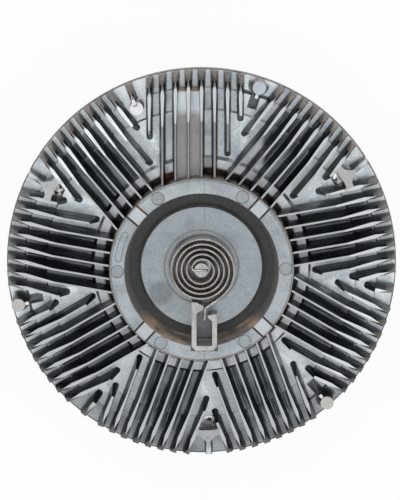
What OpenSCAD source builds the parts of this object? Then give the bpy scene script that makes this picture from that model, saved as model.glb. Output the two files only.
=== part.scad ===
// Viscous fan clutch of a truck engine.
// The drive hub bolts to the engine and carries a grooved rotor in silicone oil.
// The finned housing runs round it on a double-row bearing and carries the fan.
// A bimetal coil on the front turns the valve that lets the oil into the chamber.
// The axis is Z, the origin is the middle of the drive flange's rear face.

/* [Drive hub] */
// Diameter of the drive flange
flange_d = 104; // [98:1:116]
// Thickness of the drive flange
flange_t = 10; // [7:0.5:14]
// Bolt circle of the drive flange
drive_pcd = 78; // [76:0.5:82]
// Number of drive bolts
drive_bolts = 4; // [3:1:8]
// Diameter of the drive bolt holes
drive_hole_d = 10.5; // [8:0.1:13]
// Diameter of the pilot bore
pilot_d = 40; // [30:1:44]
// Depth of the pilot bore
pilot_depth = 6; // [3:0.5:8]
// Length of the neck between flange and bearing
neck_len = 28; // [24:1:40]
// Diameter of the neck
neck_d = 52; // [50:0.5:58]
// Width of the shoulder that the bearing sits on
shoulder_w = 2; // [1.5:0.5:4]
// Diameter of the rotor seat
rotor_seat_d = 28; // [24:0.5:32]
// Diameter of the threaded end
thread_d = 18; // [14:1:20]

/* [Bearing] */
// Bore of the bearing
bearing_bore = 40; // [34:0.5:46]
// Outside diameter of the bearing
bearing_od = 80; // [72:0.5:90]
// Width of the bearing
bearing_b = 30; // [26:0.5:36]
// Balls in each row
balls_per_row = 12; // [8:1:12]
// Play between a ball and its race or pocket
ball_play = 0.25; // [0.15:0.05:0.4]
// Gap between the cage and each bearing ring
cage_gap = 1.6; // [1.2:0.1:2]
// Thickness of a bearing seal
seal_t = 1.2; // [0.8:0.1:1.6]
// Thickness of the bearing circlip
circlip_t = 2; // [1.5:0.1:2.4]

/* [Working chamber] */
// Gap between the faces that shear the oil
oil_gap = 1; // [0.6:0.1:1.2]
// Height of the lands
land_h = 4; // [3:0.25:5]
// Width of a land
land_w = 2; // [1.5:0.1:2.2]
// Lands on each face of the rotor
land_count = 6; // [3:1:6]
// Rotor face outside its outermost land
land_edge = 2; // [1:0.25:4]
// Thickness of the rotor web
web_t = 5; // [4:0.5:7]
// Diameter of the rotor
rotor_d = 208; // [196:1:224]
// Diameter of the rotor hub
rotor_hub_d = 60; // [50:1:66]
// Thickness of the rotor nut
nut_t = 5; // [3.5:0.5:5.5]
// Width across the flats of the rotor nut
nut_af = 27; // [24:1:30]
// Thickness of the rotor washer
washer_t = 1.5; // [1:0.1:2]
// Gap round the rotor
rotor_gap = 2; // [1:0.25:4]

/* [Rear housing] */
// How far the cover's rim stands past the rear housing
rear_inset = 1.5; // [0:0.25:4]
// Thickness of the rear housing's floor
rear_floor_t = 7; // [6:0.5:9]
// Wall round the bearing
boss_wall = 11; // [9:0.5:13]
// Thickness of the lip behind the bearing
lip_t = 4; // [3:0.25:5]
// Diameter of the fan spigot
spigot_d = 172; // [168:1:176]
// Wall of the fan spigot
spigot_wall = 6; // [4:0.5:8]
// How far the fan spigot stands past the fan face
spigot_h = 6; // [4:0.5:10]
// How far the fan face stands behind the floor
fan_face_h = 11; // [8:0.5:14]
// Gap between the edge of the fan face and the nearest screw heads
fan_face_gap = 1; // [0.5:0.1:4]
// Bolt circle of the fan
fan_pcd = 200; // [190:1:208]
// Number of fan bolts
fan_bolts = 6; // [4:1:8]
// Diameter of the fan bolt holes
fan_hole_d = 6.8; // [5:0.1:8.5]
// Depth of the fan bolt holes
fan_hole_depth = 14; // [10:0.5:15]
// Number of cooling ribs behind the chamber
rib_count = 24; // [12:1:30]
// Thickness of a cooling rib
rib_t = 3; // [2:0.25:4]
// Diameter of the section of the body seal
seal_ring_d = 2.5; // [2:0.1:2.6]

/* [Front cover] */
// Thickness of the cover's rim
rim_t = 8; // [7:0.5:10]
// Height of each step towards the middle
step_h = 4; // [3:0.25:5]
// Wall between the chamber and the inner step
chamber_wall = 5; // [3:0.5:8]
// Width of the middle step
mid_step_w = 15; // [12:0.5:18]
// Width of the rim step
rim_step_w = 14; // [12:0.5:17]
// Width of the shoulder round the hub ring
shoulder_face_w = 12; // [8:0.5:13]
// Height of the shoulder round the hub ring
shoulder_h = 5; // [3:0.5:7]
// Outside diameter of the hub ring
ring_d = 131; // [126:1:138]
// Width of the hub ring's face
ring_w = 10.5; // [9:0.5:12]
// Width of the groove inside the hub ring
groove_w = 11; // [9:0.5:12]
// Depth of the groove inside the hub ring
groove_depth = 23; // [20:0.5:26]
// How far the middle disc lies below the hub ring
disc_drop = 16; // [13:0.5:18]
// Diameter of the shallow dish under the coil
dish_d = 54; // [50:1:60]
// Depth of the shallow dish under the coil
dish_depth = 0.6; // [0.2:0.1:1]
// Height of the oil reservoir under the groove
reservoir_h = 5.5; // [4.5:0.5:9]
// Thickness of the cover over the oil reservoir
roof_t = 5; // [4:0.5:7]

/* [Cooling fins] */
// Distance between fins
fin_pitch = 9.26; // [9:0.02:9.5]
// Width of a fin's crest
crest_w = 1.3; // [0.8:0.1:1.8]
// Draft of a fin's sides in degrees
fin_draft = 3.7; // [2.5:0.1:4.2]
// How far the crests lie below the hub ring
fin_drop = 6; // [4:0.5:9]
// How far inside the rim the turned slope on the crests starts
turned_in = 34; // [31:0.5:40]
// How far inside the rim the crests narrow
narrow_in = 14; // [11:0.5:18]
// How far inside the rim the crests end in their tips
tip_in = 5.5; // [4.5:0.5:8]
// Drop of the crests from the turned slope's start to the tips
turned_drop = 15; // [11:0.5:17]
// How far the raised floor of the two fed channels lies below the crests
feed_drop = 8; // [6:0.5:12]
// Start of the short fin at the left of a group
left_start = 89; // [84:1:94]
// Start of the short fin second from the right
right_start = 77; // [76:1:84]
// Start of the shortest fin at the right of a group
far_right_start = 102; // [98:1:106]

/* [Fillers between the fins] */
// Turn of the gaps between the groups in degrees
gap_turn = 2.2; // [1:0.1:3.2]
// Distance of the screw pads from the rim
pad_in = 5.8; // [5.6:0.1:7]
// Diameter of a screw pad's face
pad_d = 9.4; // [8:0.2:9.6]
// How far the screw pads rise above the rim
pad_h = 21; // [16:0.5:24]
// Distance of the screws under the pads from the rim
pad_screw_in = 8; // [7.5:0.25:10]
// Thickness of the tails at the screw pads
tail_t = 2.2; // [1.6:0.2:3]
// Width of the pocket inside a screw pad's tail
pad_pocket_w = 5.6; // [4:0.2:7]
// Distance of the webs' inner edge from the rim
web_in = 22; // [20:0.5:24]
// Width of a web's bar
web_w = 4.5; // [3.5:0.25:5.5]
// How far the webs lie below the crests
web_drop = 0.3; // [0.2:0.1:1]
// Distance of the stub fins' start from the rim
stub_in = 22; // [18:0.5:26]
// Diameter of the round end on one stub fin
round_end_d = 9.6; // [8:0.2:11]

/* [Marks on the hub ring] */
// Diameter of the ejector marks
ejector_d = 8.8; // [6:0.2:9.2]
// Number of ejector marks
ejector_count = 6; // [4:1:6]
// Depth of the ejector marks and of the cast key mark
mark_depth = 0.4; // [0.2:0.1:0.8]
// Width of the radial slots
ring_slot_w = 1.4; // [1:0.1:2]
// Depth of the radial slots
ring_slot_depth = 1.2; // [0.6:0.1:2]
// Distance between the two slots of a pair
ring_slot_gap = 10.5; // [9:0.5:13]

/* [Coil anchor] */
// Width of the anchor
anchor_w = 18; // [17:0.5:19]
// Wall of the anchor
anchor_wall = 3.4; // [2.8:0.1:5]
// Sideways place of the anchor
anchor_x = 2; // [1.5:0.1:2.5]
// Gap between the coil and the left arm
anchor_gap = 1.7; // [1.2:0.1:2.4]
// How much shorter the right arm is
anchor_short = 8.6; // [8:0.1:10]
// How far the anchor reaches onto the hub ring
anchor_bite = 2.6; // [2:0.2:5]
// How far the anchor stands above the hub ring
anchor_rise = 2; // [1:0.25:4]

/* [Valve and bimetal coil] */
// Diameter of the valve shaft
valve_d = 8; // [6:0.5:9]
// Running clearance of the valve shaft in its bush, on the radius
valve_play = 0.03; // [0.02:0.01:0.06]
// Wall of the bush
bush_wall = 2.5; // [2:0.1:3.5]
// Diameter of the shaft's collar
collar_d = 14; // [12:0.5:18]
// Diameter of the slotted head
head_d = 10; // [9.5:0.25:11]
// Thickness of the bimetal strip
strip_t = 1.15; // [0.8:0.05:1.2]
// Width of the bimetal strip
strip_w = 15.5; // [12:0.5:18]
// Gap between the slotted head and the coil's middle line
coil_gap = 2; // [1.5:0.1:2.5]
// Distance between the turns of the coil
coil_pitch = 3.6; // [3:0.05:4]
// Whole turns of the coil
coil_whole_turns = 4; // [3:1:5]
// Clearance of the strip in the slot and of flat running faces
flat_play = 0.3; // [0.2:0.05:0.5]
// Thickness of the separator plate
plate_t = 1.5; // [1:0.1:2]
// Distance from the chamber's ceiling to the separator plate
plate_lift = 2; // [1.5:0.25:3]
// Width of the ledge that the separator plate lies on
ledge_w = 8; // [7:0.25:8.5]
// Number of rivets in the separator plate
rivet_count = 6; // [4:1:8]
// Diameter of the rivets
rivet_d = 3; // [2:0.25:4]
// Radius at the inlet hole of the separator plate
inlet_place = 45; // [38:0.5:46]
// Diameter of the inlet hole
inlet_d = 8; // [6:0.5:10]
// Thickness of the valve arm
arm_t = 1.5; // [1:0.1:2.5]
// Width of the valve arm
arm_w = 9; // [7:0.5:11]

/* [Fasteners and fits] */
// Thread diameter of the cover screws
screw_d = 6; // [5:0.5:7]
// Depth of the cover screws in the cover
screw_depth = 14; // [10:0.5:15]
// Clearance of fixed pieces in their seats
seat_play = 0.05; // [0.02:0.01:0.1]
// Thread left free past the end of a cover screw
thread_run_out = 1; // [0.5:0.25:2]
// Clearance of the cover screws in the rear housing
screw_play = 0.3; // [0.2:0.05:0.5]

/* [Hidden] */
$fn = 96;
EPS = 0.01;

// Heights from the drive flange up to the fins
z_bearing = flange_t + neck_len;
z_floor = z_bearing + bearing_b;
z_split = z_floor + land_h;
z_web = z_floor + oil_gap + land_h;
z_web_top = z_web + web_t;
z_ceiling = z_web_top + land_h + oil_gap;
z_plate = z_ceiling + plate_lift;
z_ledge = z_plate + plate_t;
z_roof = z_ledge + reservoir_h;
z_groove = z_roof + roof_t;
z_ring = z_groove + groove_depth;
z_disc = z_ring - disc_drop;
z_rear = z_floor - rear_floor_t;
z_fan = z_rear - fan_face_h;
z_rim = z_split + rim_t;
z_mid_step = z_rim + step_h;
z_inner_step = z_mid_step + step_h;
z_shoulder = z_inner_step + shoulder_h;
z_crest = z_ring - fin_drop;
z_tip = z_crest - turned_drop;
z_anchor = z_ring + anchor_rise;

// Radii that several pieces share
r_flange = flange_d / 2;
r_bore = bearing_bore / 2;
r_bearing = bearing_od / 2;
r_boss = r_bearing + boss_wall;
r_chamber = rotor_d / 2 + rotor_gap;
r_inner_step = r_chamber + chamber_wall;
r_outer_step = r_inner_step + mid_step_w;
r_cover = r_outer_step + rim_step_w;
r_rear = r_cover - rear_inset;
r_ring = ring_d / 2;
r_ring_in = r_ring - ring_w;
r_disc = r_ring_in - groove_w;
r_shoulder = r_ring + shoulder_face_w;
r_valve = valve_d / 2;
r_bush = r_valve + valve_play + bush_wall;

// Inside of the bearing, in shares of its section as such bearings have
bearing_section = r_bearing - r_bore;
race_wall = 0.35 * bearing_section;
r_inner_race = r_bore + race_wall;
r_outer_race = r_bearing - race_wall;
r_pitch = (r_inner_race + r_outer_race) / 2;
seal_inset = 0.4;
seal_clear = 0.5;
row_clear = 1;
ball_room = bearing_b - 2 * (seal_inset + seal_t + seal_clear) - row_clear;
ball_d = min(0.6 * bearing_section, ball_room / 2);
row_gap = ball_d + row_clear;
cage_t = r_outer_race - r_inner_race - 2 * cage_gap;

// Drive hub details
edge = 1;
first_drive_bolt = 45;
neck_fillet = 3;
shoulder_rise = 4;
shoulder_r = r_bore + shoulder_rise;
thread_past_nut = 1;
thread_len = washer_t + nut_t + thread_past_nut;
rotor_hub_recess = 2;
z_nut_seat = z_web_top - rotor_hub_recess;

// Rings of lands, from the outermost inwards
land_pitch = 2 * land_w + 2 * oil_gap;
function land_r(i) = rotor_d / 2 - land_edge - land_w / 2 - i * land_pitch;
housing_land_shift = -land_pitch / 2;
r_land_in = land_r(land_count - 1) + housing_land_shift - land_w / 2;

// Recess of the separator plate inside the lands, and the reservoir inside its ledge
land_to_ledge = 1;
r_ledge = r_land_in - land_to_ledge;
r_reservoir = r_ledge - ledge_w;
r_plate = r_ledge - flat_play;
r_rivets = r_reservoir + ledge_w / 2;
rivet_bite = 6;

// Seal between the two halves
seal_groove_w = seal_ring_d + 1;
seal_wall = 2;
seal_squeeze = 0.1;
r_seal_groove = r_chamber + seal_wall;
r_seal = r_seal_groove + seal_groove_w / 2;

// Middle of the hub ring's flat face
r_ring_mid = (r_ring - edge + r_ring_in) / 2;

// Fin profile: half width at a height, and crest height at a radius
fin_sink = 5;
fin_foot_z = z_rim - fin_sink;
fin_end_inset = 0.8;
fin_end_h = 10;
nose_steps = 6;
r_turned = r_cover - turned_in;
r_narrow = r_cover - narrow_in;
r_tip = r_cover - tip_in;
turned_slope = turned_drop / (r_tip - r_turned);
function half_width(z) = crest_w / 2 + (z_crest - z) * tan(fin_draft);
function crest_z(r) = z_crest - max(0, r - r_turned) * turned_slope;
function along(r, d) = sqrt(r * r - d * d);
fin_bite = 4;
ring_start = r_ring - fin_bite;
long_lead = 2;
short_lead = 7;
// Each fin of a group: sideways place in pitches, and where it starts
FINS = [
    [4, left_start, short_lead],
    [3, along(ring_start, 3 * fin_pitch), long_lead],
    [2, along(ring_start, 2 * fin_pitch), long_lead],
    [1, along(ring_start, fin_pitch), long_lead],
    [0, ring_start, long_lead],
    [-1, along(ring_start, fin_pitch), long_lead],
    [-2, right_start, short_lead],
    [-3, far_right_start, short_lead]
];
fin_groups = 9;
group_turn = 360 / fin_groups;
first_group = 90;
gap_angle = group_turn / 2 - gap_turn;
// The three kinds of filler follow each other round the cover
PAD_GAPS = [0, 3, 6];
WEB_GAPS = [1, 4, 7];
STUB_GAPS = [2, 5, 8];
round_end_gap = 8;
r_pad = r_cover - pad_in;
r_pad_screw = r_cover - pad_screw_in;
r_web = r_cover - web_in;
r_stub = r_cover - stub_in;
function gap_direction(i) = first_group - i * group_turn - gap_angle;

// Valve train heights, from the arm up through the valve boss to the disc
z_arm = z_ledge + flat_play;
z_arm_top = z_arm + arm_t;
collar_h = 3;
z_collar_top = z_arm_top + collar_h;
thrust_t = 1.4;
z_valve_boss = z_collar_top + flat_play + thrust_t;
retainer_t = 1.4;
z_retainer = z_disc - retainer_t;
o_ring_d = bush_wall;
z_o_ring = z_retainer - flat_play - o_ring_d / 2;
bush_len = z_o_ring - o_ring_d / 2 - flat_play - z_valve_boss;
z_head = z_disc + flat_play;
coil_lift = 1;
z_coil = z_head + coil_lift;
head_h = strip_w;
slot_w = strip_t + 2 * flat_play;
slot_depth = z_head + head_h - z_coil + flat_play;
spigot_r = r_valve - edge;

// Path of the bimetal strip, from the shaft outwards, clockwise from the front
coil_steps = 36;
coil_r = head_d / 2 + coil_gap;
coil_from = 166;
coil_leave_angle = -54;
coil_to = coil_leave_angle - 360 * coil_whole_turns;
function coil_radius(a) = coil_r + coil_pitch * (180 - a) / 360;
function coil_point(a) = coil_radius(a) * [cos(a), sin(a)];
coil_count = round((coil_from - coil_to) * coil_steps / 360);
hook_r = 1.4;
hook_end = head_d / 2 - 1.5;
// The tail runs straight off the last turn to the anchor, and its end is bent into the pocket
tail_x = anchor_x + 0.6;
tail_direction = [sin(coil_leave_angle), -cos(coil_leave_angle)];
coil_leave = coil_point(coil_to);
tail_len = (tail_x - coil_leave[0]) / tail_direction[0];
tail_bend = coil_leave + tail_len * tail_direction;
tail_drop = 8.5;
tail_lean = 0.4;
COIL_PATH = concat(
    [[hook_end, 0], [hook_r - coil_r, 0], [0.45 * hook_r - coil_r, 0.35 * hook_r]],
    [for (i = [0 : coil_count]) coil_point(coil_from - i * (coil_from - coil_to) / coil_count)],
    [tail_bend, tail_bend - [tail_lean, tail_drop]]
);
// The anchor starts below the turn that passes it
coil_pass_angle = -90 - 360 * (coil_whole_turns - 1);
anchor_in = coil_radius(coil_pass_angle) + strip_t / 2 + anchor_gap;
anchor_right_in = anchor_in + anchor_short;
anchor_out = r_ring_in + anchor_bite;
function unit(v) = v / norm(v);
function left_of(v) = [-v[1], v[0]];
// Direction of the corner at point i of a path, and how far its offset stretches there
function corner(path, i) =
    let (last = len(path) - 1)
    let (before = unit(path[max(i, 1)] - path[max(i, 1) - 1]))
    let (after = unit(path[min(i + 1, last)] - path[min(i, last - 1)]))
    let (across = unit(left_of(before) + left_of(after)))
    across / max(0.6, across * left_of(before));
function strip_outline(path, t) = concat(
    [for (i = [0 : len(path) - 1]) path[i] + corner(path, i) * t / 2],
    [for (i = [len(path) - 1 : -1 : 0]) path[i] - corner(path, i) * t / 2]
);

// Solid ring between two radii
module ring(r_out, r_in, h) {
    difference() {
        cylinder(r = r_out, h = h);
        translate([0, 0, -1]) cylinder(r = r_in, h = h + 2);
    }
}

// Row of things round the axis
module round_row(count, start = 0) {
    for (i = [0 : count - 1]) rotate(start + i * 360 / count) children();
}

// Ring of lands: one annular ridge for each radius
module lands(count, shift, h) {
    for (i = [0 : count - 1])
        ring(land_r(i) + shift + land_w / 2, land_r(i) + shift - land_w / 2, h);
}

// Round seal of circular section
module o_ring(r, d) {
    rotate_extrude() translate([r, 0]) circle(d = d);
}

// Steel hub: flange, neck, bearing seat, rotor seat and threaded end
module drive_hub() {
    color("slategray") difference() {
        rotate_extrude() polygon([
            [0, 0], [r_flange - edge, 0], [r_flange, edge], [r_flange, flange_t - edge],
            [r_flange - edge, flange_t], [neck_d / 2 + neck_fillet, flange_t],
            [neck_d / 2, flange_t + neck_fillet],
            [neck_d / 2, z_bearing - shoulder_w - neck_fillet],
            [shoulder_r, z_bearing - shoulder_w],
            [shoulder_r, z_bearing], [r_bore - seat_play, z_bearing],
            [r_bore - seat_play, z_floor], [rotor_seat_d / 2, z_floor],
            [rotor_seat_d / 2, z_nut_seat], [thread_d / 2, z_nut_seat],
            [thread_d / 2, z_nut_seat + thread_len - edge],
            [thread_d / 2 - edge, z_nut_seat + thread_len], [0, z_nut_seat + thread_len]
        ]);
        translate([0, 0, -EPS]) cylinder(d = pilot_d, h = pilot_depth + EPS);
        round_row(drive_bolts, first_drive_bolt) translate([drive_pcd / 2, 0, -1])
            cylinder(d = drive_hole_d, h = flange_t + 2);
    }
}

// Pressed steel shield on the neck, which keeps dirt off the rear bearing seal
module dust_shield() {
    shield_t = 1.5;
    shield_gap = 2.5;
    sleeve_t = 2;
    sleeve_len = 5;
    shield_inset = 4;
    shield_z = z_bearing - lip_t - shield_gap - shield_t;
    shield_bore = neck_d / 2 + seat_play;
    color("dimgray") translate([0, 0, shield_z]) {
        ring(r_boss - shield_inset, shield_bore, shield_t);
        translate([0, 0, -sleeve_len]) ring(shield_bore + sleeve_t, shield_bore, sleeve_len + EPS);
    }
}

// Heights of the two rows of balls
row_z = [for (s = [-1, 1]) z_bearing + bearing_b / 2 + s * row_gap / 2];

// Round grooves that the balls run in
module race_grooves() {
    for (z = row_z) translate([0, 0, z]) o_ring(r_pitch, ball_d + 2 * ball_play);
}

module bearing_inner_ring() {
    color("lightsteelblue") difference() {
        translate([0, 0, z_bearing]) ring(r_inner_race, r_bore, bearing_b);
        race_grooves();
    }
}

module bearing_outer_ring() {
    color("lightsteelblue") difference() {
        translate([0, 0, z_bearing]) ring(r_bearing - seat_play, r_outer_race, bearing_b);
        race_grooves();
    }
}

// Balls of both rows, the second turned by half a step
module ball_places(d) {
    for (i = [0, 1]) round_row(balls_per_row, i * 180 / balls_per_row)
        translate([r_pitch, 0, row_z[i]]) sphere(d = d);
}

module bearing_balls() {
    color("silver") ball_places(ball_d);
}

// One-piece moulded cage that holds both rows
module bearing_cage() {
    cage_edge = 0.6;
    cage_z = row_z[0] - ball_d / 2 - cage_edge;
    cage_top = row_z[1] + ball_d / 2 + cage_edge;
    color("tan") difference() {
        translate([0, 0, cage_z])
            ring(r_pitch + cage_t / 2, r_pitch - cage_t / 2, cage_top - cage_z);
        ball_places(ball_d + 2 * ball_play);
    }
}

// Rubber seal at one end of the bearing
module bearing_seal(z) {
    color("saddlebrown") translate([0, 0, z])
        ring(r_outer_race - seat_play, r_inner_race + flat_play, seal_t);
}

module rear_bearing_seal() {
    bearing_seal(z_bearing + seal_inset);
}

module front_bearing_seal() {
    bearing_seal(z_floor - seal_inset - seal_t);
}

// Internal circlip in its groove, open at the ears
circlip_play = 0.1;
circlip_groove_depth = 1.6;
circlip_w = 5;
module bearing_circlip() {
    r_out = r_bearing + circlip_groove_depth - 2 * circlip_play;
    r_ear = r_out - circlip_w + 0.5;
    ear_d = 6;
    ear_hole_d = 2;
    ear_turn = 9;
    mouth = 4.8;
    color("darkslategray") translate([0, 0, z_floor + circlip_play]) difference() {
        union() {
            ring(r_out, r_out - circlip_w, circlip_t);
            for (s = [-1, 1]) rotate(s * ear_turn) translate([r_ear, 0, 0])
                cylinder(d = ear_d, h = circlip_t);
        }
        translate([r_ear - ear_d, -mouth / 2, -1])
            cube([circlip_w + 2 * ear_d, mouth, circlip_t + 2]);
        for (s = [-1, 1]) rotate(s * ear_turn) translate([r_ear, 0, -1])
            cylinder(d = ear_hole_d, h = circlip_t + 2);
    }
}

// Places of the cover screws, under the pads and the webs
module screw_places() {
    for (i = PAD_GAPS) rotate(gap_direction(i)) translate([r_pad_screw, 0, 0]) children();
    for (i = WEB_GAPS) rotate(gap_direction(i)) translate([r_web, 0, 0]) children();
}

// Heads of the cover screws
screw_head_r = 0.82 * screw_d;
screw_head_flange_t = 1.6;
screw_hex_h = 4.4;

// Cast rear half: bearing boss, floor with lands, fan spigot, ribs and rim
module rear_housing() {
    lip_over = 2;
    lip_r = r_outer_race + lip_over;
    boss_gap = oil_gap + 0.5;
    boss_top = z_web - boss_gap;
    boss_edge = 2;
    r_spigot = spigot_d / 2;
    r_fan_face = r_web - screw_head_r - fan_face_gap;
    z_spigot = z_fan - spigot_h;
    rib_bite = 1;
    first_fan_bolt = 15;
    color("silver") difference() {
        union() {
            rotate_extrude() polygon([
                [lip_r, z_bearing - lip_t], [r_boss - boss_edge, z_bearing - lip_t],
                [r_boss, z_bearing - lip_t + boss_edge], [r_boss, z_rear],
                [r_spigot - spigot_wall, z_rear], [r_spigot - spigot_wall, z_spigot],
                [r_spigot - edge, z_spigot], [r_spigot, z_spigot + edge], [r_spigot, z_fan],
                [r_fan_face - edge, z_fan], [r_fan_face, z_fan + edge], [r_fan_face, z_rear],
                [r_rear - boss_edge, z_rear], [r_rear, z_rear + boss_edge], [r_rear, z_split],
                [r_chamber, z_split], [r_chamber, z_floor], [r_boss - boss_edge, z_floor],
                [r_boss - boss_edge, boss_top], [r_bearing, boss_top], [r_bearing, z_bearing],
                [lip_r, z_bearing]
            ]);
            translate([0, 0, z_floor - EPS])
                lands(land_count, housing_land_shift, land_h + EPS);
            round_row(rib_count) translate([r_boss - rib_bite, -rib_t / 2, z_fan])
                cube([r_spigot - spigot_wall - r_boss + 2 * rib_bite, rib_t, z_rear - z_fan + rib_bite]);
        }
        translate([0, 0, z_floor + circlip_play / 2])
            ring(r_bearing + circlip_groove_depth, r_bearing - 1, circlip_t + circlip_play);
        translate([0, 0, z_split - seal_ring_d - seal_squeeze])
            ring(r_seal_groove + seal_groove_w, r_seal_groove, seal_ring_d + 1);
        round_row(fan_bolts, first_fan_bolt) translate([fan_pcd / 2, 0, z_fan - EPS])
            cylinder(d = fan_hole_d, h = fan_hole_depth + EPS);
        screw_places() translate([0, 0, z_rear - 1])
            cylinder(d = screw_d + 2 * screw_play, h = z_split - z_rear + 2);
    }
}

// Aluminium rotor with lands on both faces and oil holes in its web
module rotor_disc() {
    oil_hole_d = 7;
    oil_holes = 6;
    hub_lift = 3;
    hub_foot_r = r_inner_race - edge;
    color("gainsboro") difference() {
        union() {
            rotate_extrude() polygon([
                [rotor_seat_d / 2 + seat_play, z_floor + seat_play],
                [hub_foot_r, z_floor + seat_play],
                [rotor_hub_d / 2, z_floor + hub_lift], [rotor_hub_d / 2, z_web],
                [rotor_d / 2, z_web],
                [rotor_d / 2, z_web_top], [rotor_hub_d / 2, z_web_top],
                [rotor_hub_d / 2 - rotor_hub_recess, z_nut_seat],
                [rotor_seat_d / 2 + seat_play, z_nut_seat]
            ]);
            translate([0, 0, z_web_top - EPS]) lands(land_count, 0, land_h + EPS);
            translate([0, 0, z_web - land_h]) lands(land_count, 0, land_h + EPS);
        }
        round_row(oil_holes) translate([(r_boss + land_r(land_count - 1)) / 2, 0, z_web - 1])
            cylinder(d = oil_hole_d, h = web_t + 2);
    }
}

module rotor_washer() {
    washer_w = 9;
    color("darkgray") translate([0, 0, z_nut_seat])
        ring(thread_d / 2 + washer_w, thread_d / 2 + seat_play, washer_t);
}

// Hexagon nut with chamfered corners
module rotor_nut() {
    corner_r = nut_af / 2 / cos(30);
    chamfer = 1.2;
    color("dimgray") translate([0, 0, z_nut_seat + washer_t]) difference() {
        intersection() {
            cylinder(r = corner_r, h = nut_t, $fn = 6);
            rotate_extrude() polygon([
                [0, 0], [corner_r + EPS, 0], [corner_r + EPS, nut_t - chamfer],
                [corner_r - 2 * chamfer, nut_t], [0, nut_t]
            ]);
        }
        translate([0, 0, -1]) cylinder(r = thread_d / 2 + seat_play, h = nut_t + 2);
    }
}

module body_seal_ring() {
    color("black") translate([0, 0, z_split - (seal_ring_d + seal_squeeze) / 2])
        o_ring(r_seal, seal_ring_d);
}

// One drafted fin along X, at the sideways place d, from t_in out to the rim
module fin(d, t_in, lead) {
    r_at = function (t) norm([t, d]);
    t_top = t_in + lead;
    t_cut = max(along(r_turned, d), t_top + 1);
    t_narrow = max(along(r_narrow, d), t_cut + 1);
    t_tip = along(r_tip, d);
    t_end = along(r_cover - fin_end_inset, d);
    z_top = crest_z(r_at(t_top));
    z_cut = crest_z(r_at(t_cut));
    z_narrow = crest_z(r_at(t_narrow));
    z_end = z_rim + fin_end_h;
    foot = half_width(fin_foot_z);
    function pair(t, w, z) = [[t, d + w, z], [t, d - w, z]];
    function nose(a) = [t_in - foot * sin(a), d + foot * cos(a), fin_foot_z];
    polyhedron(
        points = concat(
            pair(t_in, foot, fin_foot_z),
            pair(t_end, foot, fin_foot_z),
            pair(t_end, half_width(z_end), z_end),
            pair(t_narrow, half_width(z_narrow), z_narrow),
            pair(t_cut, half_width(z_cut), z_cut),
            pair(t_top, half_width(z_top), z_top),
            [[t_tip, d, z_tip]],
            [for (i = [1 : nose_steps - 1]) nose(i * 180 / nose_steps)]
        ),
        faces = [
            [0, 2, 4, 6, 8, 10], [1, 11, 9, 7, 5, 3], [3, 5, 4, 2], [5, 12, 4], [4, 12, 6],
            [5, 7, 12], [6, 12, 7], [8, 6, 7, 9], [10, 8, 9, 11],
            [13, 0, 10], [14, 13, 10], [15, 14, 10], [15, 10, 11],
            [15, 11, 16], [16, 11, 17], [17, 11, 1],
            [13, 14, 15, 16, 17, 1, 3, 2, 0]
        ]
    );
}

// Eight parallel fins of one group
module fin_group() {
    for (f = FINS) fin(f[0] * fin_pitch, f[1], f[2]);
}

// Raised floor of the two channels through which the mould was filled, on one group
module fed_channels() {
    width = 2 * fin_pitch;
    t_out = r_outer_step - edge;
    end_slope = 2;
    z_floor_in = z_crest - feed_drop;
    translate([0, width, 0]) rotate([90, 0, 0]) linear_extrude(width) polygon([
        [ring_start, fin_foot_z], [t_out + end_slope, fin_foot_z],
        [t_out, crest_z(t_out) - feed_drop], [r_turned, z_floor_in], [ring_start, z_floor_in]
    ]);
}

pad_draft = 0.6;
// Round screw pad near the rim, with a short tail inwards
module screw_pad() {
    tail = 7.8;
    tail_low = 0.4;
    pad_height = z_rim + pad_h - fin_foot_z;
    translate([r_pad, 0, fin_foot_z])
        cylinder(r1 = pad_d / 2 + pad_draft, r2 = pad_d / 2, h = pad_height);
    translate([r_pad - tail, -tail_t / 2, fin_foot_z])
        cube([tail, tail_t, pad_height - tail_low]);
}

// Pocket cut through the outer step, inside a screw pad's tail
module pad_pocket() {
    pocket_in = 6;
    pocket_out = 3;
    pocket_low = 0.6;
    x_round = r_outer_step - pocket_in;
    translate([0, 0, z_rim - pocket_low]) linear_extrude(step_h + 1 + pocket_low) {
        translate([x_round, 0]) circle(d = pad_pocket_w);
        translate([x_round, -pad_pocket_w / 2])
            square([pocket_in + pocket_out, pad_pocket_w]);
    }
}

// Edges of a web: run from the bar's edge, and share of the way to the end fin of each group
BAR_IN = [[-1.6, 1], [-0.3, 0.74], [0.2, 0.4]];
BAR_OUT = [[1, 1], [0.2, 0.9], [0, 0.72], [0.7, 0.5], [2.3, 0.33], [4, 0.19], [5.6, 0.11]];
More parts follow.
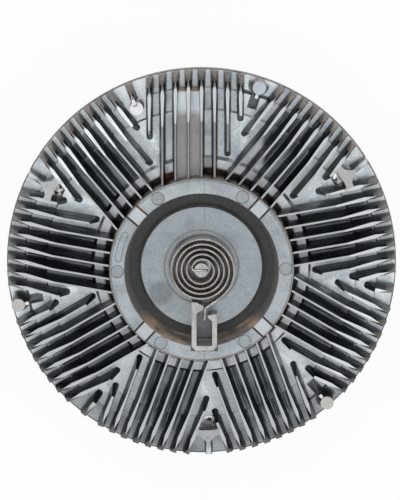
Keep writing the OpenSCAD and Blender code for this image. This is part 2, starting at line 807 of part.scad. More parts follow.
// Web that is turned with the crests: a bar between the end fins of two groups, a gusset
// and a stem out to the rim
module fin_web() {
    to_left = gap_angle;
    to_right = group_turn - gap_angle;
    left_fin = FINS[len(FINS) - 1][0] * fin_pitch / cos(to_left);
    right_fin = FINS[0][0] * fin_pitch / cos(to_right);
    function left(x, share) = [x, share * (x * tan(to_left) + left_fin)];
    function right(x, share) = [x, share * (right_fin - x * tan(to_right))];
    x_out = r_web + web_w;
    inner = len(BAR_IN) - 1;
    outer = len(BAR_OUT) - 1;
    plan = concat(
        [for (i = [inner : -1 : 0]) right(r_web + BAR_IN[i][0], BAR_IN[i][1])],
        [for (i = [0 : outer]) right(x_out + BAR_OUT[i][0], BAR_OUT[i][1])],
        [for (i = [outer : -1 : 0]) left(x_out + BAR_OUT[i][0], BAR_OUT[i][1])],
        [for (i = [0 : inner]) left(r_web + BAR_IN[i][0], BAR_IN[i][1])]
    );
    web_foot_z = fin_foot_z + 1;
    x_low = r_web - web_w;
    side = 2 * fin_pitch;
    difference() {
        translate([0, 0, web_foot_z]) linear_extrude(z_ring - web_foot_z) polygon(plan);
        translate([0, side, 0]) rotate([90, 0, 0]) linear_extrude(2 * side) polygon([
            [x_low, crest_z(x_low) - web_drop], [r_cover, crest_z(r_cover) - web_drop],
            [r_cover, z_ring + 1], [x_low, z_ring + 1]
        ]);
    }
    fin(0, x_out, long_lead);
}

// Stub fin near the rim, on one gap with a round end
module stub_fin(round_end) {
    fin(0, r_stub, short_lead);
    end_r = round_end_d / 2;
    if (round_end) translate([r_stub + end_r - pad_draft, 0, fin_foot_z])
        cylinder(r1 = end_r + pad_draft, r2 = end_r, h = z_rim + pad_h - fin_foot_z);
}

nose_over = 1;
nose_top = 2.6;
nose_side = 5;
nose_foot = 8;
// U-shaped anchor that holds the tail of the coil, with an angled nose and a hook
module coil_anchor_plan() {
    hook_over = 2.6;
    hook_top = 1;
    hook_side = 2.5;
    hook_foot = 5;
    x_left = anchor_x - anchor_w / 2;
    x_right = anchor_x + anchor_w / 2;
    p_left = x_left + anchor_wall;
    p_right = x_right - anchor_wall;
    p_end = anchor_out - anchor_wall;
    tip_x = anchor_x - nose_over;
    hook_x = anchor_x + hook_over;
    curve = 3;
    polygon([
        [x_left, -anchor_in], [p_left, -anchor_in], [tip_x, -anchor_in - nose_top],
        [tip_x, -anchor_in - nose_side], [p_left, -anchor_in - nose_foot],
        [p_left, -p_end], [p_right, -p_end], [p_right, -anchor_right_in - hook_foot],
        [hook_x, -anchor_right_in - hook_side],
        [hook_x, -anchor_right_in - hook_top], [p_right, -anchor_right_in], [x_right, -anchor_right_in],
        [x_right, curve - anchor_out], [x_right - curve, -anchor_out],
        [x_left + curve, -anchor_out], [x_left, curve - anchor_out]
    ]);
}

// Space inside the anchor, open towards the coil
module coil_anchor_pocket() {
    pocket_sink = 2;
    pocket_start = anchor_in + nose_side;
    pocket_end = anchor_out - anchor_wall;
    pocket_h = z_anchor - z_groove;
    difference() {
        translate([anchor_x - anchor_w / 2 + anchor_wall, -pocket_end, z_disc - pocket_sink])
            cube([anchor_w - 2 * anchor_wall, pocket_end - pocket_start, pocket_h]);
        translate([0, 0, z_groove]) linear_extrude(2 * pocket_h) coil_anchor_plan();
    }
}

// Cast marks on the face of the hub ring
module ring_marks() {
    z_mark = z_ring - mark_depth;
    first_ejector = 1;
    slot_angles = [47, 139.5, 227.5, 317];
    key_from = 155;
    key_turn = 17;
    key_end_d = 6;
    key_w = 3;
    round_row(ejector_count, first_ejector) translate([r_ring_mid, 0, z_mark])
        cylinder(d = ejector_d, h = mark_depth + 1);
    for (a = slot_angles, s = [-1, 1]) rotate(a)
        translate([r_ring_in - 1, s * ring_slot_gap / 2 - ring_slot_w / 2, z_ring - ring_slot_depth])
            cube([ring_w + 3, ring_slot_w, ring_slot_depth + 1]);
    for (a = [key_from, key_from + key_turn]) rotate(a) translate([r_ring_mid, 0, z_mark])
        cylinder(d = key_end_d, h = mark_depth + 1);
    rotate(key_from) rotate_extrude(angle = key_turn)
        translate([r_ring_mid - key_w / 2, z_mark]) square([key_w, mark_depth + 1]);
}

// Outside of the cover without the fins: stepped disc, hub ring, groove and middle disc
module cover_body() {
    wall_draft = 1;
    groove_draft = 3;
    dish_r = dish_d / 2;
    rotate_extrude() polygon([
        [0, z_split], [r_cover - edge, z_split], [r_cover, z_split + edge],
        [r_cover, z_rim - edge], [r_cover - edge, z_rim], [r_outer_step + edge, z_rim],
        [r_outer_step, z_mid_step], [r_inner_step + edge, z_mid_step],
        [r_inner_step, z_inner_step], [r_shoulder + edge, z_inner_step],
        [r_shoulder - edge, z_shoulder], [r_ring + wall_draft, z_shoulder],
        [r_ring, z_ring - edge], [r_ring - edge, z_ring], [r_ring_in, z_ring],
        [r_ring_in - groove_draft, z_groove], [r_disc + wall_draft, z_groove],
        [r_disc, z_disc - edge], [r_disc - edge, z_disc], [dish_r, z_disc],
        [dish_r - edge, z_disc - dish_depth], [0, z_disc - dish_depth]
    ]);
}

// Hollow inside of the cover: chamber, recess of the plate, stepped reservoir, valve bore
module cover_inside() {
    core_draft = 1;
    r_core = r_disc - roof_t;
    z_core = z_disc - roof_t;
    valve_boss_wall = 5;
    r_valve_boss = r_bush + valve_boss_wall;
    rotate_extrude() polygon([
        [0, z_split - 1], [r_chamber, z_split - 1], [r_chamber, z_ceiling], [r_ledge, z_ceiling],
        [r_ledge, z_ledge], [r_reservoir, z_ledge], [r_reservoir - core_draft, z_roof],
        [r_core, z_roof], [r_core - core_draft, z_core], [r_valve_boss + core_draft, z_core],
        [r_valve_boss, z_valve_boss], [r_bush + seat_play, z_valve_boss],
        [r_bush + seat_play, z_disc + 1], [0, z_disc + 1]
    ]);
}

// Cast front half with its fins, coil anchor and marks
module front_cover() {
    color("lightgray") difference() {
        union() {
            difference() {
                union() {
                    difference() {
                        cover_body();
                        for (i = PAD_GAPS) rotate(gap_direction(i)) pad_pocket();
                    }
                    round_row(fin_groups, first_group) fin_group();
                    rotate(first_group) fed_channels();
                    for (i = PAD_GAPS) rotate(gap_direction(i)) screw_pad();
                    for (i = WEB_GAPS) rotate(gap_direction(i)) fin_web();
                    for (i = STUB_GAPS) rotate(gap_direction(i)) stub_fin(i == round_end_gap);
                    translate([0, 0, z_groove - 1])
                        linear_extrude(z_anchor - z_groove + 1) coil_anchor_plan();
                }
                cover_inside();
            }
            translate([0, 0, z_ceiling - land_h])
                lands(land_count, housing_land_shift, land_h + EPS);
        }
        ring_marks();
        coil_anchor_pocket();
        screw_places() translate([0, 0, z_split - EPS])
            cylinder(d = screw_d, h = screw_depth + thread_run_out);
        round_row(rivet_count) translate([r_rivets, 0, z_ledge - EPS])
            cylinder(d = rivet_d, h = rivet_bite + edge);
    }
}

// Hexagon flange screws that enter from the rear
module cover_screws() {
    hex_share = 0.92;
    z_seat = z_rear - seat_play;
    color("dimgray") screw_places() {
        translate([0, 0, z_seat - screw_head_flange_t])
            cylinder(r = screw_head_r, h = screw_head_flange_t);
        translate([0, 0, z_seat - screw_head_flange_t - screw_hex_h])
            cylinder(r = hex_share * screw_head_r, h = screw_hex_h + EPS, $fn = 6);
        translate([0, 0, z_seat - EPS])
            cylinder(r = screw_d / 2 - seat_play, h = z_split - z_seat + screw_depth);
    }
}

// Steel plate between the reservoir and the chamber, with the inlet hole
module separator_plate() {
    color("lightslategray") difference() {
        translate([0, 0, z_plate]) cylinder(r = r_plate, h = plate_t);
        translate([inlet_place, 0, z_plate - 1]) cylinder(d = inlet_d, h = plate_t + 2);
        round_row(rivet_count) translate([r_rivets, 0, z_plate - 1])
            cylinder(d = rivet_d, h = plate_t + 2);
    }
}

module plate_rivets() {
    rivet_head = 1;
    head_share = 1.8;
    color("darkgray") round_row(rivet_count) translate([r_rivets, 0, z_plate]) {
        translate([0, 0, -rivet_head]) cylinder(d = head_share * rivet_d, h = rivet_head);
        translate([0, 0, -EPS]) cylinder(r = rivet_d / 2 - seat_play, h = plate_t + rivet_bite);
    }
}

// Spring steel arm that covers the inlet hole
module valve_arm() {
    inlet_lap = 2;
    color("goldenrod") translate([0, 0, z_arm]) difference() {
        union() {
            cylinder(d = collar_d, h = arm_t);
            translate([0, -arm_w / 2, 0]) cube([inlet_place, arm_w, arm_t]);
            translate([inlet_place, 0, 0]) cylinder(d = inlet_d + 2 * inlet_lap, h = arm_t);
        }
        translate([0, 0, -1]) cylinder(r = spigot_r + seat_play, h = arm_t + 2);
    }
}

// Valve shaft with collar, rivet spigot and slotted head
module valve_shaft() {
    color("lightgray") difference() {
        union() {
            translate([0, 0, z_arm]) cylinder(r = spigot_r, h = arm_t + EPS);
            translate([0, 0, z_arm_top]) cylinder(r = r_valve, h = z_head - z_arm_top + EPS);
            translate([0, 0, z_arm_top]) cylinder(d = collar_d, h = collar_h);
            translate([0, 0, z_head]) cylinder(d = head_d, h = head_h);
        }
        translate([-head_d, -slot_w / 2, z_head + head_h - slot_depth])
            cube([2 * head_d, slot_w, slot_depth + 1]);
    }
}

module valve_thrust_washer() {
    washer_over = 1.5;
    color("darkgoldenrod") translate([0, 0, z_valve_boss - thrust_t])
        ring(collar_d / 2 + washer_over, r_valve + flat_play, thrust_t);
}

module valve_bush() {
    color("peru") translate([0, 0, z_valve_boss])
        ring(r_bush, r_valve + valve_play, bush_len);
}

module valve_o_ring() {
    color("black") translate([0, 0, z_o_ring])
        o_ring(r_valve + valve_play + o_ring_d / 2, o_ring_d - 2 * valve_play);
}

module valve_seal_retainer() {
    color("gray") translate([0, 0, z_retainer])
        ring(r_bush, r_valve + flat_play, retainer_t);
}

// Bimetal strip: hook in the shaft, turns, tail and bent end in the anchor
module bimetal_coil() {
    color("rosybrown") translate([0, 0, z_coil]) linear_extrude(strip_w)
        polygon(strip_outline(COIL_PATH, strip_t));
}

drive_hub();
dust_shield();
bearing_inner_ring();
bearing_outer_ring();
bearing_balls();
bearing_cage();
rear_bearing_seal();
front_bearing_seal();
bearing_circlip();
rear_housing();
rotor_disc();
rotor_washer();
rotor_nut();
body_seal_ring();
front_cover();
cover_screws();
separator_plate();
plate_rivets();
valve_arm();
valve_shaft();
valve_thrust_washer();
valve_bush();
valve_o_ring();
valve_seal_retainer();
bimetal_coil();
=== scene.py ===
import math

import bpy
from mathutils import Matrix, Vector


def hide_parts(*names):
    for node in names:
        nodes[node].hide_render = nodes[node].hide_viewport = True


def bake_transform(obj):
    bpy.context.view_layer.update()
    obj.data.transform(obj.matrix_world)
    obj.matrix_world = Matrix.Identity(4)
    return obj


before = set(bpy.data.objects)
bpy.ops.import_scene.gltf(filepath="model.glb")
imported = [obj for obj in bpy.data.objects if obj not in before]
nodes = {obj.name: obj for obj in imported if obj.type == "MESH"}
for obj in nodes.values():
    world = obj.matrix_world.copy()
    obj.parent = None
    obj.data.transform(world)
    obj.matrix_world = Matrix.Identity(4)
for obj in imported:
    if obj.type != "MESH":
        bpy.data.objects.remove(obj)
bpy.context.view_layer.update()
bpy.ops.object.select_all(action="DESELECT")


# Drive hub: a steel forging, turned all over and phosphated dark grey.
# Its flange bolts to the engine and its neck carries the bearing and the rotor.
def feed(tree, socket, value):
    """Joins another socket to this one, or sets it to a number or colour."""
    if isinstance(value, bpy.types.NodeSocket):
        tree.links.new(value, socket)
    elif isinstance(value, tuple) and len(value) == 3 and socket.type == "RGBA":
        socket.default_value = (*value, 1)
    else:
        socket.default_value = value


def put(tree, kind, *values, **settings):
    """A new node with its settings, and its first sockets fed in order."""
    made = tree.nodes.new(kind)
    for name, setting in settings.items():
        setattr(made, name, setting)
    for socket, value in zip(made.inputs, values):
        if value is not None:
            feed(tree, socket, value)
    return made


def calc(tree, operation, *values):
    return put(tree, "ShaderNodeMath", *values, operation=operation).outputs[0]


def span(tree, value, low, high, to_low=0.0, to_high=1.0):
    """Smooth step of a value from low to high."""
    return put(tree, "ShaderNodeMapRange", value, low, high, to_low, to_high,
               interpolation_type="SMOOTHSTEP").outputs[0]


def band(tree, value, low, high, soft):
    """1 between low and high, with soft edges."""
    return calc(tree, "MULTIPLY", span(tree, value, low - soft, low + soft),
                span(tree, value, high - soft, high + soft, 1.0, 0.0))


def tint(tree, factor, first, second):
    """Colour that goes from the first to the second with the factor."""
    made = tree.nodes.new("ShaderNodeMix")
    made.data_type = "RGBA"
    feed(tree, made.inputs[0], factor)
    feed(tree, made.inputs[6], first)
    feed(tree, made.inputs[7], second)
    return made.outputs[2]


def noise(tree, place, scale, detail=3.0, rough=0.55):
    return put(tree, "ShaderNodeTexNoise", place, None, scale, detail, rough).outputs[0]


def new_group(name, inputs, outputs):
    """Empty node group with number inputs and named outputs."""
    tree = bpy.data.node_groups.new(name, "ShaderNodeTree")
    for socket, value in inputs.items():
        made = tree.interface.new_socket(socket, in_out="INPUT", socket_type="NodeSocketFloat")
        made.default_value = value
    for socket in outputs:
        tree.interface.new_socket(socket, in_out="OUTPUT", socket_type="NodeSocketFloat")
    return tree, tree.nodes.new("NodeGroupInput").outputs, tree.nodes.new("NodeGroupOutput").inputs


# Grain that every metal here has: a fine tooth, and cloudy patches from handling
tree, given, result = new_group("metal grain", {"Tooth": 900.0, "Patch": 40.0},
                                ("Tone", "Patches", "Height"))
place = put(tree, "ShaderNodeTexCoord").outputs["Object"]
tooth = noise(tree, place, given["Tooth"], 4.0, 0.65)
cloud = noise(tree, place, given["Patch"], 5.0, 0.6)
both = calc(tree, "MULTIPLY", calc(tree, "ADD", tooth, cloud), 0.5)
feed(tree, result["Tone"], span(tree, both, 0.36, 0.64))
feed(tree, result["Patches"], span(tree, cloud, 0.35, 0.7))
feed(tree, result["Height"], tooth)
METAL_GRAIN = tree


def grain(tree, tooth, patch):
    made = put(tree, "ShaderNodeGroup", node_tree=METAL_GRAIN)
    made.inputs["Tooth"].default_value = tooth
    made.inputs["Patch"].default_value = patch
    return made.outputs


def new_finish(name):
    made = bpy.data.materials.new(name)
    made.use_nodes = True
    return made, made.node_tree, made.node_tree.nodes["Principled BSDF"]


def bump(tree, shader, height, strength, depth):
    made = put(tree, "ShaderNodeBump")
    made.inputs["Strength"].default_value = strength
    made.inputs["Distance"].default_value = depth
    feed(tree, made.inputs["Height"], height)
    feed(tree, shader.inputs["Normal"], made.outputs[0])


def metal(name, dark, light, rough, tooth=900.0, patch=40.0, depth=0.00004):
    """Metal finish that varies between two colours and round a roughness."""
    made, tree, shader = new_finish(name)
    marks = grain(tree, tooth, patch)
    feed(tree, shader.inputs["Base Color"], tint(tree, marks["Tone"], dark, light))
    feed(tree, shader.inputs["Roughness"],
         span(tree, marks["Patches"], 0.0, 1.0, rough - 0.07, rough + 0.09))
    shader.inputs["Metallic"].default_value = 1.0
    bump(tree, shader, marks["Height"], 0.5, depth)
    return made


def wear(node, material):
    nodes[node].data.materials.clear()
    nodes[node].data.materials.append(material)


def soften(node, width, angle=0.5):
    """Rounds the sharp edges of a CAD node, or of another piece, with live modifiers."""
    piece = nodes[node] if isinstance(node, str) else node
    join = piece.modifiers.new("join triangles", "WELD")
    join.merge_threshold = 1e-6
    flat = piece.modifiers.new("merge flat faces", "DECIMATE")
    flat.decimate_type = "DISSOLVE"
    flat.angle_limit = 0.01
    flat.delimit = {"NORMAL"}
    round_off = piece.modifiers.new("round edges", "BEVEL")
    round_off.width = width
    round_off.segments = 2
    round_off.limit_method = "ANGLE"
    round_off.angle_limit = angle
    round_off.harden_normals = True


phosphated = metal("phosphated steel", (0.10, 0.10, 0.105), (0.26, 0.26, 0.27), 0.42)
wear("drive_hub", phosphated)
soften("drive_hub", 0.0005)


# Dust shield: pressed sheet steel with a zinc coat, pushed onto the hub's neck.
zinc = metal("zinc plated steel", (0.42, 0.42, 0.40), (0.62, 0.62, 0.60), 0.33, 1400.0, 60.0)
wear("dust_shield", zinc)
soften("dust_shield", 0.0003)


# Bearing: ground and polished steel rings and balls, a moulded polyamide cage,
# and a rubber seal at each end. A black spring steel circlip holds it in the housing.
polished = metal("polished bearing steel", (0.55, 0.56, 0.58), (0.72, 0.73, 0.75), 0.16,
                 2500.0, 70.0, 0.00001)
for name in ("bearing_inner_ring", "bearing_outer_ring", "bearing_balls"):
    wear(name, polished)

polyamide, tree, shader = new_finish("moulded polyamide")
marks = grain(tree, 700.0, 90.0)
feed(tree, shader.inputs["Base Color"],
     tint(tree, marks["Tone"], (0.42, 0.33, 0.18), (0.66, 0.55, 0.36)))
feed(tree, shader.inputs["Roughness"], span(tree, marks["Patches"], 0.0, 1.0, 0.4, 0.55))
bump(tree, shader, marks["Height"], 0.3, 0.00003)
wear("bearing_cage", polyamide)

rubber, tree, shader = new_finish("seal rubber")
marks = grain(tree, 1600.0, 80.0)
feed(tree, shader.inputs["Base Color"],
     tint(tree, marks["Tone"], (0.012, 0.011, 0.010), (0.045, 0.040, 0.036)))
feed(tree, shader.inputs["Roughness"], span(tree, marks["Patches"], 0.0, 1.0, 0.55, 0.75))
bump(tree, shader, marks["Height"], 0.4, 0.00003)
for name in ("rear_bearing_seal", "front_bearing_seal", "body_seal_ring", "valve_o_ring"):
    wear(name, rubber)

spring_steel = metal("black spring steel", (0.06, 0.06, 0.065), (0.16, 0.16, 0.17), 0.38)
wear("bearing_circlip", spring_steel)
soften("bearing_circlip", 0.0002)


# Rear housing: aluminium die casting with ribs. The fan's spigot and face are turned.
rear_cast = metal("rear casting", (0.34, 0.35, 0.36), (0.53, 0.55, 0.56), 0.44, 650.0, 28.0, 0.00007)
wear("rear_housing", rear_cast)
soften("rear_housing", 0.0006)


# Rotor: turned aluminium disc with ring lands on both faces, under a washer and a nut.
turned_rotor = metal("turned rotor", (0.56, 0.58, 0.60), (0.74, 0.76, 0.78), 0.27, 2000.0, 50.0, 0.00002)
wear("rotor_disc", turned_rotor)
for name in ("rotor_washer", "rotor_nut"):
    wear(name, zinc)
    soften(name, 0.0002)


# Front cover: one aluminium die casting with fins, hub ring, groove and coil anchor.
# The outer crests, pads and webs are turned bright. Painted shade darkens the fin sides, and painted
# glints streak them.
# Its sizes here repeat those of the solid, in metres, and place each finish on its form.
GROUPS = 9                     # fin groups round the cover, the first one at +Y
FIN_PITCH = 0.00926
FIRST_FIN, LAST_FIN = 4, -3    # fins of a group, counted from its middle one
FIRST_LONG, LAST_LONG = 3, -1  # those that start at the hub ring
FILLERS = 3                    # screw pads, and as many webs, between the groups
FIRST_PAD, FIRST_WEB = 72.2, 32.2        # angles of one pad and of one web
PAD_RADIUS, PAD_TOP = 0.1342, 0.101
INNER_PAD = 0.1285             # round stub ends lie inside this radius
MID_STEP, RIM_STEP = 0.111, 0.126        # radii of the steps in the lands
SHOULDER_LOW, SHOULDER_HIGH = 0.0762, 0.0790   # riser of the shoulder round the ring
SHOULDER_TOP, LAND_TOP, MOAT_TOP = 0.0935, 0.0945, 0.0846   # floors lie below these heights
RIM_EDGE = 0.1396
CREST_TOP = 0.114
TURNED_FROM, TURNED_SLOPE = 0.106, 0.526   # radius where the turned slope starts, and its fall
TIP_RADIUS = 0.1345
TOP_GROUP_Y, TOP_GROUP_X = 0.06, 0.044     # lower edge and half width of the top group
HUB_RADIUS, RING_INSIDE, DISC_RADIUS = 0.0658, 0.0548, 0.0442
RING_SLOTS = 47.0, 139.5, 227.5, 317.0     # angles of the slot pairs in the ring
MARK_RADIUS = 0.05975          # middle of the cast marks on the ring
KEY_MARK, KEY_HALF = math.radians(163.5), 0.148   # middle and half angle of the long mark
ANCHOR_TOP, RING_TOP = 0.1214, 0.1194
# paint tones, each from dark to light
RIM_LAND = (0.43, 0.475, 0.505), (0.93, 0.97, 0.99)
LOW_LAND = (0.10, 0.105, 0.11), (0.30, 0.32, 0.33)
CHANNEL_FLOOR_SHADE = (0.050, 0.059, 0.064), (0.30, 0.335, 0.355)
SHOULDER_FACE = (0.45, 0.47, 0.49), (0.85, 0.87, 0.88)
FIN_SIDE_SHADE = (0.013, 0.017, 0.019), (0.070, 0.081, 0.087)
FIN_END = (0.085, 0.076, 0.068), (0.27, 0.25, 0.23)
GREY_END = (0.045, 0.044, 0.042), (0.21, 0.205, 0.195)
DARK_LOW_END = (0.018, 0.019, 0.020), (0.09, 0.09, 0.09)
TURNED = (0.47, 0.49, 0.505), (0.80, 0.825, 0.84)
THIN_CREST = (0.31, 0.325, 0.335), (0.66, 0.68, 0.695)
WEB_FACE = (0.40, 0.40, 0.405), (0.54, 0.54, 0.545)
WEB_POCKET_SHADE_AND_GLINTS = (0.04, 0.045, 0.05), (0.97, 0.98, 0.99)
FED_FLOOR = (0.37, 0.35, 0.345), (0.50, 0.48, 0.475)
HUB_FACE = (0.30, 0.33, 0.35), (0.50, 0.54, 0.565)
HUB_SIDE = (0.30, 0.29, 0.28), (0.58, 0.55, 0.52)
ANCHOR_FACE = (0.36, 0.36, 0.355), (0.60, 0.60, 0.59)
GROOVE_FLOOR_SHADE = (0.034, 0.035, 0.036), (0.080, 0.080, 0.080)
DISH_FLOOR_SHADE = (0.12, 0.118, 0.115), (0.34, 0.33, 0.32)
RUST = (0.20, 0.085, 0.035)
STEP_FOOT_SHADE = (0.03, 0.03, 0.03)
cast_cover, tree, shader = new_finish("finned casting")
coord = put(tree, "ShaderNodeTexCoord").outputs
x, y, z = put(tree, "ShaderNodeSeparateXYZ", coord["Object"]).outputs
facing_x, facing_y, up = put(tree, "ShaderNodeSeparateXYZ", coord["Normal"]).outputs


def times(tree, *values):
    """Product of masks."""
    result = values[0]
    for value in values[1:]:
        result = calc(tree, "MULTIPLY", result, value)
    return result


def either(tree, *masks):
    """Largest of some masks."""
    result = masks[0]
    for mask in masks[1:]:
        result = calc(tree, "MAXIMUM", result, mask)
    return result


def without(tree, mask):
    """What a mask leaves over."""
    return calc(tree, "SUBTRACT", 1.0, mask)


def apart(tree, value):
    return calc(tree, "ABSOLUTE", value)


def less(tree, value, limit, soft):
    return span(tree, value, limit - soft, limit + soft, 1.0, 0.0)


def more(tree, value, limit, soft):
    return span(tree, value, limit - soft, limit + soft)


def reach(tree, *sides):
    """Distance, from two sides at right angles."""
    return calc(tree, "SQRT", calc(tree, "ADD", *[calc(tree, "MULTIPLY", side, side) for side in sides]))


def turned_to(tree, radius, turn):
    """Places along and across a direction that lies this far off."""
    return [calc(tree, "MULTIPLY", radius, calc(tree, way, turn)) for way in ("COSINE", "SINE")]


def spot(tree, x, y, middle, size):
    """Soft round mask in the plane of the fins."""
    away = [calc(tree, "DIVIDE", calc(tree, "SUBTRACT", axis, at), size)
            for axis, at in zip((x, y), middle)]
    square = [calc(tree, "MULTIPLY", part, part) for part in away]
    return span(tree, calc(tree, "ADD", *square), 0.25, 1.0, 1.0, 0.0)


def nearest(tree, angle, count, first):
    """Angle from the nearest of a round row's places."""
    step = 2 * math.pi / count
    turns = calc(tree, "DIVIDE", calc(tree, "SUBTRACT", angle, first), step)
    return calc(tree, "MULTIPLY", calc(tree, "SUBTRACT", turns, calc(tree, "ROUND", turns)), step)


radius = reach(tree, x, y)
angle = calc(tree, "ARCTAN2", y, x)
turn = nearest(tree, angle, GROUPS, math.pi / 2)
along, across = turned_to(tree, radius, turn)
marks = grain(tree, 800.0, 70.0)
tone, patches = marks["Tone"], marks["Patches"]
level = span(tree, up, 0.6, 0.9)
steep = without(tree, level)
on_floor = less(tree, z, LAND_TOP, 0.0005)
at_top = span(tree, y, 0.04, 0.07)
top_side = more(tree, y, TOP_GROUP_Y, 0.002)
top_group = times(tree, less(tree, apart(tree, x), TOP_GROUP_X, 0.002), top_side)
fin_turn = calc(tree, "SUBTRACT", angle, turn)
end_on = apart(tree, calc(tree, "ADD", calc(tree, "MULTIPLY", facing_x, calc(tree, "COSINE", fin_turn)),
                          calc(tree, "MULTIPLY", facing_y, calc(tree, "SINE", fin_turn))))
lath = put(tree, "ShaderNodeCombineXYZ", times(tree, along, 0.05), across, z).outputs[0]
streak = noise(tree, lath, 700.0, 3.0, 0.65)

# lands between the groups, and the floors of the channels in a group
cloudy = times(tree, calc(tree, "ADD", tone, patches), 0.5)
land = tint(tree, cloudy, *RIM_LAND)
low_rim = times(tree, span(tree, y, -0.105, -0.060, 1.0, 0.0), span(tree, radius, 0.112, 0.128, 0.25, 0.8))
land = tint(tree, low_rim, land, tint(tree, cloudy, *LOW_LAND))
in_group = band(tree, across, LAST_FIN * FIN_PITCH, FIRST_FIN * FIN_PITCH, 0.0008)
between_long = band(tree, across, LAST_LONG * FIN_PITCH, FIRST_LONG * FIN_PITCH, 0.0008)
deep = times(tree, between_long, less(tree, radius, RIM_STEP - 0.0005, 0.0015))
# painted shade: the channel floors between the long fins are darker than the lands
channel_light_and_shade = tint(tree, span(tree, streak, 0.40, 0.62), *CHANNEL_FLOOR_SHADE)
# painted reflection: the top group's channel floors are painted light
channel_light_and_shade = tint(tree, times(tree, top_group, 0.8), channel_light_and_shade, (0.84, 0.88, 0.90))
colour = tint(tree, deep, land, channel_light_and_shade)
shoulder = times(tree, more(tree, z, 0.0915, 0.0006), less(tree, radius, 0.0785, 0.0004))
colour = tint(tree, shoulder, colour, tint(tree, streak, *SHOULDER_FACE))
# painted shade in the channel ends beside the ring
ring_end_shade = times(tree, shoulder, less(tree, radius, 0.0704, 0.0010))
colour = tint(tree, ring_end_shade, colour, (0.03, 0.028, 0.026))
# painted shade: a dark line at the foot of each step of the cover, fainter towards the top
for step in (MID_STEP + 0.0003, RIM_STEP + 0.0003, SHOULDER_HIGH - 0.0008):
    step_foot_shade = times(tree, band(tree, radius, step - 0.0001, step + 0.0007, 0.0003), between_long)
    step_foot_shade = times(tree, step_foot_shade, calc(tree, "SUBTRACT", 0.85, times(tree, at_top, 0.6)))
    colour = tint(tree, step_foot_shade, colour, STEP_FOOT_SHADE)

# painted shade in the moat round each screw pad, in the bands beside it, and in the deep pocket inside its
# tail
pad_along, pad_across = turned_to(tree, radius, nearest(tree, angle, FILLERS, math.radians(FIRST_PAD)))
pad_along = calc(tree, "SUBTRACT", pad_along, PAD_RADIUS)
from_pad = reach(tree, pad_along, pad_across)
aside = apart(tree, pad_across)
moat_shade = either(tree, times(tree, less(tree, from_pad, 0.0076, 0.0006), less(tree, pad_along, 0.002, 0.002)),
              times(tree, band(tree, radius, 0.1260, 0.1284, 0.0003), less(tree, aside, 0.011, 0.0005)),
              times(tree, less(tree, aside, 0.0036, 0.0004), band(tree, radius, 0.1166, 0.130, 0.0003)))
moat_shade = times(tree, moat_shade, less(tree, z, MOAT_TOP, 0.0003), 0.85)
colour = tint(tree, moat_shade, colour, (0.032, 0.034, 0.036))

# fin sides: painted shade with painted glints, and dull skin near the rim, brown at the top and darker
# towards the bottom
painted_glint = times(tree, span(tree, streak, 0.52, 0.66), span(tree, end_on, 0.10, 0.35, 1.0, 0.0))
side = tint(tree, painted_glint, tint(tree, tone, *FIN_SIDE_SHADE), (0.48, 0.52, 0.54))
above_dark_low_ends = span(tree, y, -0.075, 0.01)
fin_end = tint(tree, span(tree, y, 0.02, 0.11), tint(tree, tone, *GREY_END), tint(tree, tone, *FIN_END))
# fin ends darker towards the bottom
fin_end = tint(tree, above_dark_low_ends, tint(tree, tone, *DARK_LOW_END), fin_end)
outer_skin = more(tree, radius, TIP_RADIUS - 0.001, 0.0015)
side = tint(tree, outer_skin, side, fin_end)
side = tint(tree, more(tree, radius, RIM_EDGE, 0.0002), side, (0.24, 0.24, 0.24))
riser = either(tree, band(tree, radius, MID_STEP - 0.0004, MID_STEP + 0.0014, 0.0003),
               band(tree, radius, RIM_STEP - 0.0004, RIM_STEP + 0.0014, 0.0003),
               band(tree, radius, SHOULDER_LOW, SHOULDER_HIGH, 0.0003))
on_land = either(tree, without(tree, between_long), at_top)
riser = times(tree, riser, less(tree, z, SHOULDER_TOP, 0.0003), on_land, without(tree, moat_shade),
              more(tree, end_on, 0.5, 0.1))
# painted light: the risers are light towards the top of the cover, grey lower down
side = tint(tree, riser, side, tint(tree, at_top, (0.40, 0.42, 0.43), (0.96, 0.98, 0.99)))
colour = tint(tree, level, side, colour)
slope = times(tree, band(tree, up, 0.36, 0.72, 0.05), more(tree, radius, TIP_RADIUS - 0.0015, 0.0005))
colour = tint(tree, slope, colour, fin_end)

# turned crests and webs, with the lathe's fine rings
past = either(tree, calc(tree, "SUBTRACT", radius, TURNED_FROM), 0.0)
below = calc(tree, "SUBTRACT", calc(tree, "SUBTRACT", CREST_TOP, times(tree, past, TURNED_SLOPE)), z)
at_crest = times(tree, less(tree, below, 0.0018, 0.0003), level, more(tree, radius, 0.066, 0.0005))
lathe = noise(tree, put(tree, "ShaderNodeCombineXYZ", radius).outputs[0], 2600.0, 2.0)
turned = times(tree, at_crest, more(tree, radius, TURNED_FROM - 0.0005, 0.0006))
dirty_tip = times(tree, turned, at_top, more(tree, radius, 0.1290, 0.0008))
thin_crest = tint(tree, times(tree, top_group, 0.75), tint(tree, streak, *THIN_CREST), (0.24, 0.235, 0.23))
colour = tint(tree, at_crest, colour, thin_crest)
web_across = turned_to(tree, radius, nearest(tree, angle, FILLERS, math.radians(FIRST_WEB)))[1]
from_web = apart(tree, web_across)
stem = times(tree, less(tree, from_web, 0.0017, 0.0003), more(tree, radius, 0.127, 0.0005),
             more(tree, up, 0.3, 0.05))
colour = tint(tree, either(tree, turned, stem), colour, tint(tree, lathe, *TURNED))
colour = tint(tree, times(tree, dirty_tip, 0.85), colour, fin_end)
web = times(tree, at_crest, less(tree, from_web, 0.0085, 0.0006), more(tree, radius, 0.1155, 0.0005))
colour = tint(tree, times(tree, web, 0.75), colour, tint(tree, tone, *WEB_FACE))
